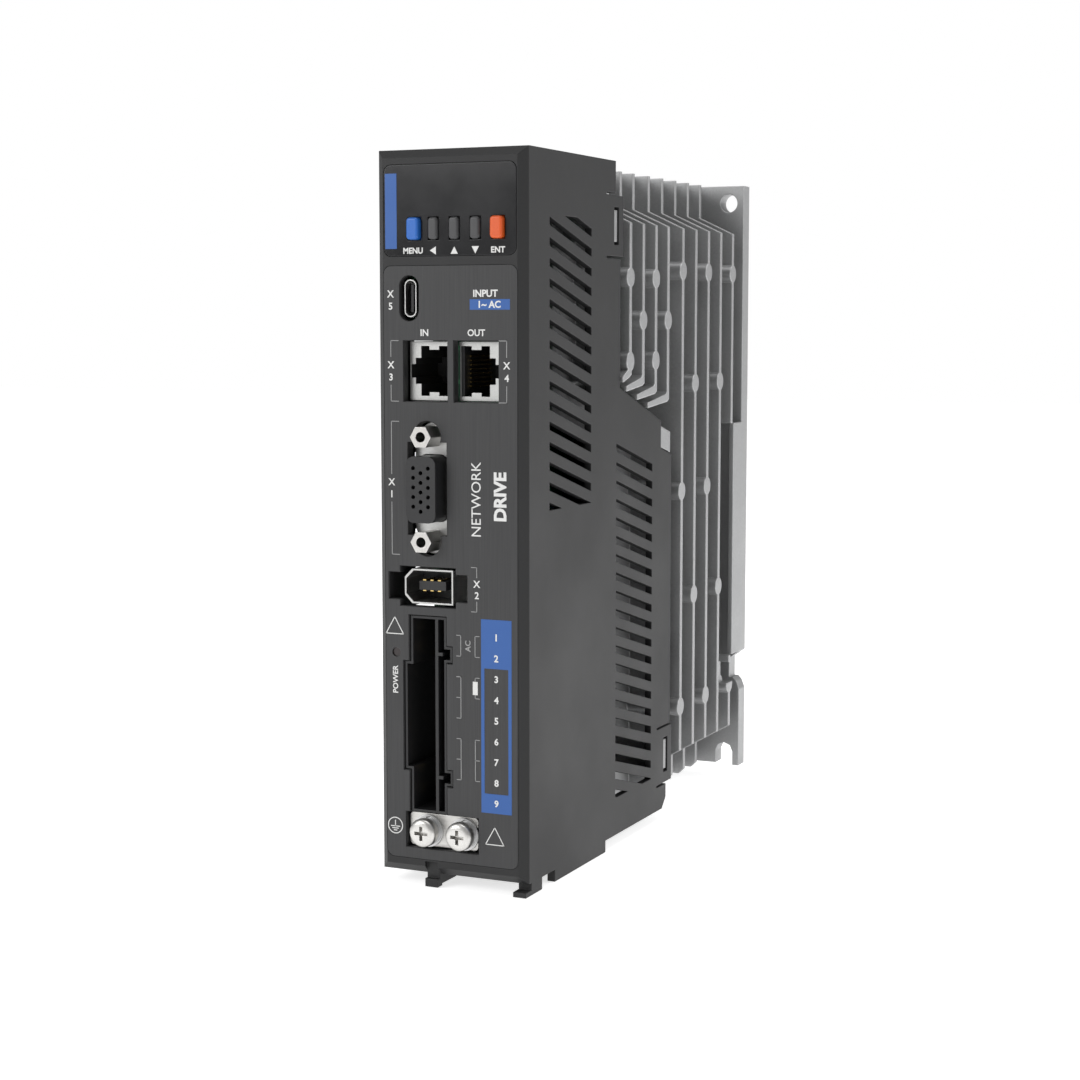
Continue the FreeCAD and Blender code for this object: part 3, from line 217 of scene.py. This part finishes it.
MATERIALS = {
    "housing": finish_material("moulded_shell", (0.02, 0.02, 0.0205), 0.5, level=0.28, grain=0.22, spread=0.1,
                               relief=0.012, patch=30, edge=0.35, wear=0.3),
    "casting": finish_material("die_cast_aluminium", (0.36, 0.362, 0.365), 0.46, metal=0.75, grain=0.5,
                               spread=0.09, relief=0.03, patch=16, rough_spread=0.07, edge=0.5, wear=0.5),
    "window": window_material(),
    "film": finish_material("printed_film", (0.04, 0.04, 0.041), 0.42, level=0.3, grain=0.35, spread=0.14,
                            relief=0.004, patch=40, stretch=BRUSHED_UP, edge=0.15, wear=0.35),
    "key_blue": finish_material("blue_key", (0.014, 0.11, 0.42), 0.34, grain=0.16, relief=0.008, patch=3,
                                edge=0.2, wear=0.25),
    "key_grey": finish_material("grey_key", (0.042, 0.042, 0.044), 0.42, grain=0.16, relief=0.008, patch=3,
                                edge=0.2, wear=0.3),
    "key_orange": finish_material("orange_key", (0.6, 0.085, 0.012), 0.36, grain=0.16, relief=0.008, patch=3,
                                  edge=0.2, wear=0.2),
    "plunger": finish_material("natural_nylon", (0.45, 0.42, 0.36), 0.5, grain=0.3),
    "switch": finish_material("switch_case", (0.03, 0.03, 0.03), 0.45, grain=0.25),
    "board": board_material(),
    "display": finish_material("display_face", (0.05, 0.045, 0.045), 0.55, grain=0.2),
    "steel": finish_material("tinned_steel", (0.46, 0.46, 0.45), 0.36, metal=1.0, grain=0.25, spread=0.1,
                             relief=0.006, patch=4, stretch=(1, 0.1, 1), edge=0.12, wear=0.2),
    "posts": finish_material("nickel_plate", (0.52, 0.51, 0.49), 0.34, metal=1.0, grain=0.3, relief=0.004,
                             patch=3, edge=0.2, wear=0.3),
    "insulator": finish_material("black_nylon", (0.009, 0.009, 0.01), 0.5, grain=0.2, relief=0.01, patch=8,
                                 edge=0.2, wear=0.4),
    "contact": finish_material("gold_flash", (0.72, 0.52, 0.2), 0.24, metal=1.0, grain=0.2, relief=0.003,
                               patch=2),
    "plate": finish_material("plated_earth_bar", (0.56, 0.55, 0.53), 0.34, metal=0.9, grain=0.3, relief=0.006,
                             patch=5, stretch=(0.06, 1, 1), edge=0.2, wear=0.4),
    "screw": finish_material("nickel_screw", (0.6, 0.59, 0.57), 0.34, metal=0.95, grain=0.25, relief=0.005,
                             patch=2.5, edge=0.15, wear=0.3),
    "washer": finish_material("zinc_washer", (0.55, 0.55, 0.55), 0.36, metal=0.95, grain=0.2, relief=0.006,
                              patch=2, edge=0.12, wear=0.3),
    "can": finish_material("shrink_sleeve", (0.02, 0.03, 0.07), 0.28, grain=0.8, relief=0.01, patch=6,
                           coat=0.3),
    "module": finish_material("moulded_epoxy", (0.022, 0.022, 0.022), 0.55, grain=0.2, relief=0.01),
    "pad": finish_material("silicone_pad", (0.42, 0.45, 0.5), 0.7, grain=0.5, relief=0.02),
    "relay": finish_material("relay_cover", (0.02, 0.04, 0.12), 0.35, grain=0.3, relief=0.006),
    "winding": winding_material(),
    "ceramic": finish_material("fired_cement", (0.66, 0.64, 0.58), 0.85, grain=0.35, relief=0.05, spread=0.1),
    "insulation": finish_material("polyester_film", (0.6, 0.5, 0.27), 0.3, grain=1.5, relief=0.004),
    "light": finish_material("tinted_lens", (0.012, 0.005, 0.005), 0.3, grain=1.0, relief=0.002, coat=0.1),
    "standoff": finish_material("brass_standoff", (0.58, 0.44, 0.2), 0.3, metal=1.0, grain=0.3, relief=0.004),
}
INKS = {
    "white": finish_material("white_ink", (0.62, 0.62, 0.61), 0.5, grain=0.12, spread=0.05,
                             relief=0.004, patch=6),
    "grey": finish_material("grey_ink", (0.26, 0.26, 0.26), 0.5, grain=0.12, spread=0.06,
                            relief=0.004, patch=6),
    "blue": finish_material("blue_ink", (0.017, 0.085, 0.3), 0.45, grain=0.15, spread=0.07,
                            relief=0.004, patch=8),
}


def dress_nodes():
    """Give each CAD node the material of its slot in the record."""
    for part in frame["record"]["subparts"]:
        item = NODES[part["node"]]
        material = MATERIALS[part["material_slot"]]
        if not item.data.materials:
            item.data.materials.append(material)
        for index in range(len(item.data.materials)):
            item.data.materials[index] = material


# ---------------------------------------------------------------- making pieces

def piece(name, mesh, material, body, smooth=30):
    """An object of its own that rides on a body; faces that meet flatter than smooth degrees blend."""
    mesh.name = name
    item = bpy.data.objects.new(name, mesh)
    bpy.context.scene.collection.objects.link(item)
    mesh.materials.clear()
    mesh.materials.append(material)
    if smooth:
        mesh.polygons.foreach_set("use_smooth", [True] * len(mesh.polygons))
        mesh.set_sharp_from_angle(angle=math.radians(smooth))
    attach(item, body)
    return item


def to_mesh(shape, name="made"):
    bmesh.ops.recalc_face_normals(shape, faces=shape.faces)
    mesh = bpy.data.meshes.new(name)
    shape.to_mesh(mesh)
    shape.free()
    return mesh


def middle(node):
    low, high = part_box(node)
    return (low + high) / 2


def prism(shape, outline, front, thick):
    """A closed flat solid from an outline of (x, z) points, facing -y."""
    near = [shape.verts.new((x, front, z)) for x, z in outline]
    far = [shape.verts.new((x, front + thick, z)) for x, z in outline]
    shape.faces.new(near)
    shape.faces.new(far[::-1])
    count = len(outline)
    for index in range(count):
        after = (index + 1) % count
        shape.faces.new((near[index], far[index], far[after], near[after]))


# ---------------------------------------------------------------- earth screws

HEAD_TALL = 2.6 * MM
SHANK_RADIUS = 1.95 * MM
THREAD_PITCH = 0.7 * MM
THREAD_DEPTH = 0.36 * MM
THREAD_STEPS = 8
AROUND = 40
RIM_BEVEL = 0.15 * MM
PLAIN_NECK = 0.3 * MM
TIP_LONG = 0.7 * MM
RECESS_DEEP = 1.6 * MM
RECESS_HALF_WIDE = 0.45 * MM
RECESS_HALF_LONG = 1.9 * MM
RECESS_TAPER = 0.62
RECESS_LEAD = 0.3 * MM


def turned(rings):
    """A closed solid turned about the y axis from (y, radius, thread depth) rings."""
    shape = bmesh.new()
    loops = []
    for y, radius, depth in rings:
        loop = []
        for index in range(AROUND):
            turn = index / AROUND
            flank = abs(2 * ((y / THREAD_PITCH - turn) % 1) - 1)
            reach = radius - depth * flank
            angle = turn * math.tau
            loop.append(shape.verts.new((reach * math.cos(angle), y, reach * math.sin(angle))))
        loops.append(loop)
    for near, far in zip(loops, loops[1:]):
        for index in range(AROUND):
            after = (index + 1) % AROUND
            shape.faces.new((near[index], near[after], far[after], far[index]))
    shape.faces.new(loops[0])
    shape.faces.new(loops[-1][::-1])
    return to_mesh(shape)


def crossed_recess():
    """The tapered cross that is sunk in a head, starting a little in front of it."""
    shape = bmesh.new()
    for across, along in ((RECESS_HALF_WIDE, RECESS_HALF_LONG), (RECESS_HALF_LONG, RECESS_HALF_WIDE)):
        corners = [(-across, -along), (across, -along), (across, along), (-across, along)]
        mouth = [shape.verts.new((x, -RECESS_LEAD, z)) for x, z in corners]
        root = [shape.verts.new((x * RECESS_TAPER, RECESS_DEEP, z * RECESS_TAPER)) for x, z in corners]
        shape.faces.new(mouth)
        shape.faces.new(root[::-1])
        for index in range(4):
            after = (index + 1) % 4
            shape.faces.new((mouth[index], root[index], root[after], mouth[after]))
    return to_mesh(shape)


def sunk(mesh, cutter):
    """The mesh with the cutter's shape taken out of it."""
    items = [bpy.data.objects.new("scratch", part) for part in (mesh, cutter)]
    for item in items:
        bpy.context.scene.collection.objects.link(item)
    cut = items[0].modifiers.new("cut", "BOOLEAN")
    cut.object = items[1]
    cut.solver = "EXACT"
    cut.use_self = True
    bpy.context.view_layer.update()
    result = bpy.data.meshes.new_from_object(items[0].evaluated_get(bpy.context.evaluated_depsgraph_get()))
    for item in items:
        bpy.data.objects.remove(item)
    return result


def screw(side):
    """Domed head with a crossed recess, over a shank with a helical thread."""
    node = "earth_screw_" + side
    low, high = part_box(node)
    radius = (high.x - low.x) / 2
    rings = [(0, radius * 0.62, 0), (0.12 * MM, radius * 0.76, 0), (0.38 * MM, radius * 0.9, 0),
             (0.85 * MM, radius * 0.985, 0), (1.3 * MM, radius, 0), (HEAD_TALL - RIM_BEVEL, radius, 0),
             (HEAD_TALL, radius - RIM_BEVEL, 0), (HEAD_TALL, SHANK_RADIUS, 0)]
    y = HEAD_TALL + PLAIN_NECK
    end = high.y - low.y
    while y < end - TIP_LONG:
        rings.append((y, SHANK_RADIUS, THREAD_DEPTH))
        y += THREAD_PITCH / THREAD_STEPS
    rings.append((end, SHANK_RADIUS - TIP_LONG, 0))
    mesh = sunk(turned(rings), crossed_recess())
    mesh.transform(Matrix.Translation((middle(node).x, low.y, middle(node).z)))
    item = piece("threaded_screw_" + side, mesh, MATERIALS["screw"], side + "_screw")
    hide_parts(node)


# ---------------------------------------------------------------- printed front

class Print:
    """Raised ink of one colour on the front: each mark is a thin closed solid."""

    def __init__(self, front, layer=0):
        self.shape = bmesh.new()
        self.front = front - INK_THICK * (layer + 1)

    def block(self, left, low, right, high):
        prism(self.shape, [(left, low), (right, low), (right, high), (left, high)], self.front, INK_THICK)

    def outline(self, points):
        prism(self.shape, points, self.front, INK_THICK)

    def line(self, start, end, width):
        """A straight stroke between two (x, z) points."""
        run = Vector(end) - Vector(start)
        side = Vector((-run.y, run.x)).normalized() * width / 2
        cap = run.normalized() * width / 2
        corners = [Vector(start) - cap - side, Vector(end) + cap - side, Vector(end) + cap + side,
                   Vector(start) - cap + side]
        prism(self.shape, [tuple(corner) for corner in corners], self.front, INK_THICK)

    def path(self, points, width):
        for start, end in zip(points, points[1:]):
            self.line(start, end, width)

    def ring(self, x, z, radius, width, steps=40):
        """A circle drawn as one closed band."""
        turns = [2 * math.pi * step / steps for step in range(steps)]
        rings = []
        for reach in (radius - width / 2, radius + width / 2):
            for depth in (self.front, self.front + INK_THICK):
                spots = [(x + reach * math.cos(turn), depth, z + reach * math.sin(turn)) for turn in turns]
                rings.append([self.shape.verts.new(spot) for spot in spots])
        inner_near, inner_far, outer_near, outer_far = rings
        for first, second in ((inner_near, outer_near), (outer_near, outer_far), (outer_far, inner_far),
                              (inner_far, inner_near)):
            for step in range(steps):
                after = (step + 1) % steps
                self.shape.faces.new((first[step], first[after], second[after], second[step]))

    def words(self, text, x, z, tall, turn=0, bold=0.02, wide=None):
        """Text centred on a point, its capitals that tall, turned anticlockwise by so many degrees."""
        curve = bpy.data.curves.new("words", "FONT")
        curve.body = text
        curve.extrude = 0.01
        curve.offset = bold
        curve.resolution_u = 3
        holder = bpy.data.objects.new("words", curve)
        mesh = bpy.data.meshes.new_from_object(holder)
        spots = [vertex.co for vertex in mesh.vertices]
        low = [min(spot[axis] for spot in spots) for axis in range(3)]
        high = [max(spot[axis] for spot in spots) for axis in range(3)]
        up = tall / (high[1] - low[1])
        along = wide / (high[0] - low[0]) if wide else up
        centre = Matrix.Translation([-(a + b) / 2 for a, b in zip(low, high)])
        scale = Matrix.Diagonal((along, up, INK_THICK / (high[2] - low[2]), 1))
        spin = Matrix.Rotation(math.radians(turn), 4, "Z")
        place = Matrix.Translation((x, self.front + INK_THICK / 2, z))
        mesh.transform(place @ FACING_FRONT @ spin @ scale @ centre)
        self.shape.from_mesh(mesh)
        bpy.data.objects.remove(holder)
        bpy.data.curves.remove(curve)
        bpy.data.meshes.remove(mesh)

    def stacked(self, text, x, z, tall, pitch):
        """Upright characters one below another, centred on a point."""
        for index, letter in enumerate(text):
            self.words(letter, x, z + pitch * ((len(text) - 1) / 2 - index), tall)

    def bracket(self, x, low, high, reach, width, ticks=()):
        """A square bracket whose ends turn by reach, with middle ticks at given heights."""
        self.path([(x + reach, low), (x, low), (x, high), (x + reach, high)], width)
        for tick in ticks:
            self.line((x, tick), (x + reach, tick), width)

    def finish(self, name, ink, slot):
        return piece(name, to_mesh(self.shape), INKS[ink], "chassis", smooth=0)


LINE = 0.18 * MM
LEGEND = 1.7 * MM
SMALL = 1.45 * MM
TERMINALS = 9
PIN_SHARE = 0.2


def window_print():
    """Key legends and a plain colour strip on the display window."""
    low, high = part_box("display_window")
    key_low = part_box("key_menu")[0].z
    white = Print(low.y)
    blue = Print(low.y)
    strip_left = low.x + 0.35 * MM
    strip_right = strip_left + 3.1 * MM
    blue.block(strip_left, key_low - 1.6 * MM, strip_right, high.z - 2 * MM)
    legend_z = key_low - 2.1 * MM
    white.words("MENU", middle("key_menu").x - 0.4 * MM, legend_z, SMALL, bold=0.03)
    white.words("ENT", middle("key_enter").x, legend_z, SMALL, bold=0.03)
    half = 0.95 * MM
    arrows = {"left": ((-half, 0), (half * 0.7, -half), (half * 0.7, half)),
              "up": ((-half, -half * 0.9), (half, -half * 0.9), (0, half * 0.9)),
              "down": ((-half, half * 0.9), (0, -half * 0.9), (half, half * 0.9))}
    for name, corners in arrows.items():
        x = middle("key_" + name).x
        white.outline([(x + across, legend_z + up) for across, up in corners])
    white.finish("window_legends", "white", "window")
    blue.finish("window_colour_strip", "blue", "window")


def socket_print(white, grey):
    """Labels and brackets beside the sockets in the upper half of the film."""
    usb = middle("usb_shell")
    film_low, film_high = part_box("label_film")
    left_column = film_low.x + 1.85 * MM
    white.stacked("X5", left_column, usb.z - 0.4 * MM, LEGEND, 2.9 * MM)
    jacks = {"in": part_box("jack_in_body"), "out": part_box("jack_out_body")}
    for name, text in (("in", "IN"), ("out", "OUT")):
        low, high = jacks[name]
        white.words(text, (low.x + high.x) / 2, high.z + 2.4 * MM, LEGEND * 0.95)
    centre = middle("jack_in_body").z
    reach = 2 * MM
    for x, turn, text in ((left_column, reach, "X3"), (film_high.x - 2.75 * MM, -reach, "X4")):
        for sign in (-1, 1):
            grey.path([(x + turn, centre + sign * 7.2 * MM), (x, centre + sign * 7.2 * MM),
                       (x, centre + sign * 3.4 * MM)], LINE)
        white.stacked(text, x, centre, LEGEND, 2.9 * MM)
    io_low, io_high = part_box("io_shell")
    io_centre = (io_low.z + io_high.z) / 2
    for sign in (-1, 1):
        end = io_centre + sign * 16 * MM
        grey.path([(left_column + reach, end), (left_column, end),
                   (left_column, io_centre + sign * 3.4 * MM)], LINE)
    white.stacked("X1", left_column, io_centre, LEGEND, 2.9 * MM)
    encoder_low, encoder_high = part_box("encoder_shell")
    x = encoder_high.x + 6.6 * MM
    encoder_centre = (encoder_low.z + encoder_high.z) / 2
    for sign in (-1, 1):
        grey.path([(x - reach * 0.7, encoder_centre + sign * 5.3 * MM), (x, encoder_centre + sign * 5.3 * MM),
                   (x, encoder_centre + sign * 2.9 * MM)], LINE)
    white.stacked("X2", x, encoder_centre, LEGEND, 2.7 * MM)
    return io_centre


def supply_print(white, blue, over):
    """Supply legend at the top right of the film."""
    film_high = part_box("label_film")[1]
    usb = middle("usb_shell").z
    left = film_high.x - 12.3 * MM
    white.words("INPUT", left + 4.1 * MM, usb + 1.05 * MM, LEGEND, bold=0.03)
    blue.block(left, usb - 2.75 * MM, left + 10.4 * MM, usb - 0.3 * MM)
    over.words("1~ AC", left + 5.2 * MM, usb - 1.5 * MM, LEGEND, bold=0.03)


def terminal_print(white, grey, blue, over):
    """Numbered list of the nine power terminals in its colour frame, with grouping brackets."""
    low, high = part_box("power_pins")
    pin = (high.z - low.z) / (TERMINALS - 1 + PIN_SHARE)
    header_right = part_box("power_header")[1].x
    frame_left = header_right + 7.9 * MM
    frame_right = frame_left + 8 * MM
    text_x = (frame_left + frame_right) / 2
    first = low.z + PIN_SHARE / 2 * pin
    heights = [first + pin * index for index in range(TERMINALS)]
    edge = 0.85 * MM
    blue.block(frame_left, heights[0] - pin * 0.48, frame_right, heights[0] + pin * 0.46)
    blue.block(frame_left, heights[6] + pin * 0.5, frame_right, heights[8] + pin * 0.85)
    for left in (frame_left, frame_right - edge):
        blue.block(left, heights[0] + pin * 0.46, left + edge, heights[6] + pin * 0.5)
    for index, z in enumerate(heights):
        target = over if index in (0, 7, 8) else white
        target.words(str(TERMINALS - index), text_x, z, LEGEND, bold=0.03)
    inner_x = header_right + 2.5 * MM
    outer_x = frame_left - 1.6 * MM
    reach = 1.1 * MM
    for top, bottom, tick in ((8, 7, None), (6, 4, 5), (3, 1, 2)):
        ticks = [heights[tick]] if tick is not None else []
        grey.bracket(inner_x, heights[bottom], heights[top], -reach, LINE, ticks)
        if top != 6:
            grey.bracket(outer_x, heights[bottom], heights[top], reach, LINE, ticks)
    grey.bracket(outer_x, heights[5], heights[6], reach, LINE)
    jumper = (heights[5] + heights[6]) / 2
    over.block(outer_x - 0.6 * MM, jumper - 1.6 * MM, outer_x + 0.7 * MM, jumper + 1.6 * MM)
    grey.words("AC", (inner_x + outer_x) / 2, (heights[7] + heights[8]) / 2, SMALL, turn=90)


def triangle(target, x, low, high, width):
    """An upright triangle drawn in three strokes."""
    half = (high - low) / math.sqrt(3)
    corners = [(x - half, low), (x + half, low), (x, high)]
    target.path(corners + corners[:1], width)


def symbol_print(white):
    """Plain triangles, the protective earth mark, and the lamp's legend."""
    lamp = middle("charge_light_pipe")
    film_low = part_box("label_film")[0]
    triangle(white, film_low.x + 2.4 * MM, lamp.z + 4.5 * MM, lamp.z + 8.6 * MM, LINE * 1.2)
    white.words("POWER", lamp.x - 0.3 * MM, lamp.z - 6.6 * MM, LEGEND * 0.85, turn=90)
    plate_low, plate_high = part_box("earth_plate")
    level = (plate_low.z + plate_high.z) / 2
    triangle(white, plate_high.x + 5.2 * MM, level - 1.6 * MM, level + 2.6 * MM, LINE * 1.2)
    x = plate_low.x - 3.3 * MM
    white.ring(x, level + 0.6 * MM, 1.95 * MM, LINE * 1.3)
    white.line((x, level + 0.4 * MM), (x, level + 1.8 * MM), LINE * 1.3)
    for index, half in enumerate((1.15, 0.75, 0.35)):
        z = level + (0.4 - 0.5 * index) * MM
        white.line((x - half * MM, z), (x + half * MM, z), LINE * 1.3)


def film_print():
    """Everything printed on the label film."""
    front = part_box("label_film")[0].y
    white, grey, blue = Print(front), Print(front), Print(front)
    over = Print(front, layer=1)
    io_centre = socket_print(white, grey)
    supply_print(white, blue, over)
    terminal_print(white, grey, blue, over)
    symbol_print(white)
    words_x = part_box("encoder_shell")[1].x
    white.words("NETWORK", words_x + 6.5 * MM, io_centre - 2 * MM, 2.5 * MM, turn=90, bold=0.0)
    white.words("DRIVE", words_x + 12.8 * MM, io_centre - 1.2 * MM, 3.3 * MM, turn=90, bold=0.04)
    white.finish("film_white_print", "white", "film")
    grey.finish("film_line_print", "grey", "film")
    blue.finish("film_colour_print", "blue", "film")
    over.finish("film_legends_on_colour", "white", "film")


# ---------------------------------------------------------------- camera, floor and light

CAMERA_SPOT = (226.3 * MM, -600.1 * MM, 46.2 * MM)
CAMERA_TILT = 5.875
CAMERA_TURN = 24.558
LENS = 70.2
SENSOR = 36
FLOOR_GAP = 0.2 * MM
FLOOR_HALF = 3.0
FLOOR_GLOW = 0.7
AMBIENT = 0.42


def look_from():
    """The camera in front of the drive, a little to its right and just above its middle."""
    camera = bpy.data.objects.new("camera", bpy.data.cameras.new("camera"))
    camera.location = CAMERA_SPOT
    camera.rotation_euler = (math.radians(90 - CAMERA_TILT), 0, math.radians(CAMERA_TURN))
    camera.data.lens = LENS
    camera.data.sensor_width = SENSOR
    camera.data.clip_start = 0.01
    bpy.context.scene.collection.objects.link(camera)
    bpy.context.scene.camera = camera


def floor():
    """A large pale floor just below the hooks."""
    level = CAD_BOX[0][2] - FLOOR_GAP
    shape = bmesh.new()
    corners = [shape.verts.new((x * FLOOR_HALF, y * FLOOR_HALF, level))
               for x, y in ((-1, -1), (1, -1), (1, 1), (-1, 1))]
    shape.faces.new(corners)
    item = bpy.data.objects.new("floor", to_mesh(shape))
    material = finish_material("pale_floor", (0.86, 0.86, 0.86), 0.7, grain=1.5, spread=0.01, relief=0.01,
                               patch=300, level=0.2)
    shader = material.node_tree.nodes["Principled BSDF"]
    shader.inputs["Emission Color"].default_value = (1, 1, 1, 1)
    shader.inputs["Emission Strength"].default_value = FLOOR_GLOW
    item.data.materials.append(material)
    bpy.context.scene.collection.objects.link(item)


def softbox(name, spot, target, size, power):
    """A square area light aimed at a point."""
    light = bpy.data.lights.new(name, "AREA")
    light.size = size
    light.energy = power
    item = bpy.data.objects.new(name, light)
    item.location = spot
    item.rotation_euler = (Vector(target) - Vector(spot)).to_track_quat("-Z", "Y").to_euler()
    bpy.context.scene.collection.objects.link(item)


def studio():
    """White surroundings, a broad key from the front left, one for the fins from the right, and one above."""
    world = bpy.data.worlds.new("studio")
    world.use_nodes = True
    nodes, links = world.node_tree.nodes, world.node_tree.links
    back = nodes["Background"]
    back.inputs["Color"].default_value = (1, 1, 1, 1)
    seen = nodes.new("ShaderNodeLightPath")
    strength = mapped(nodes, links, seen.outputs["Is Camera Ray"], AMBIENT, 1.0, 0.0, 1.0)
    links.new(strength, back.inputs["Strength"])
    bpy.context.scene.world = world
    bpy.context.scene.view_settings.view_transform = "Standard"
    centre = [(low + high) / 2 for low, high in zip(*CAD_BOX)]
    softbox("key", (-0.6, -0.9, 0.45), centre, 0.6, 5)
    softbox("side", (1.0, 0.35, 0.45), centre, 0.6, 5)
    softbox("top", (0.1, -0.1, 1.0), centre, 0.7, 4)


dress_nodes()
for side in ("left", "right"):
    screw(side)
window_print()
film_print()
look_from()
floor()
studio()
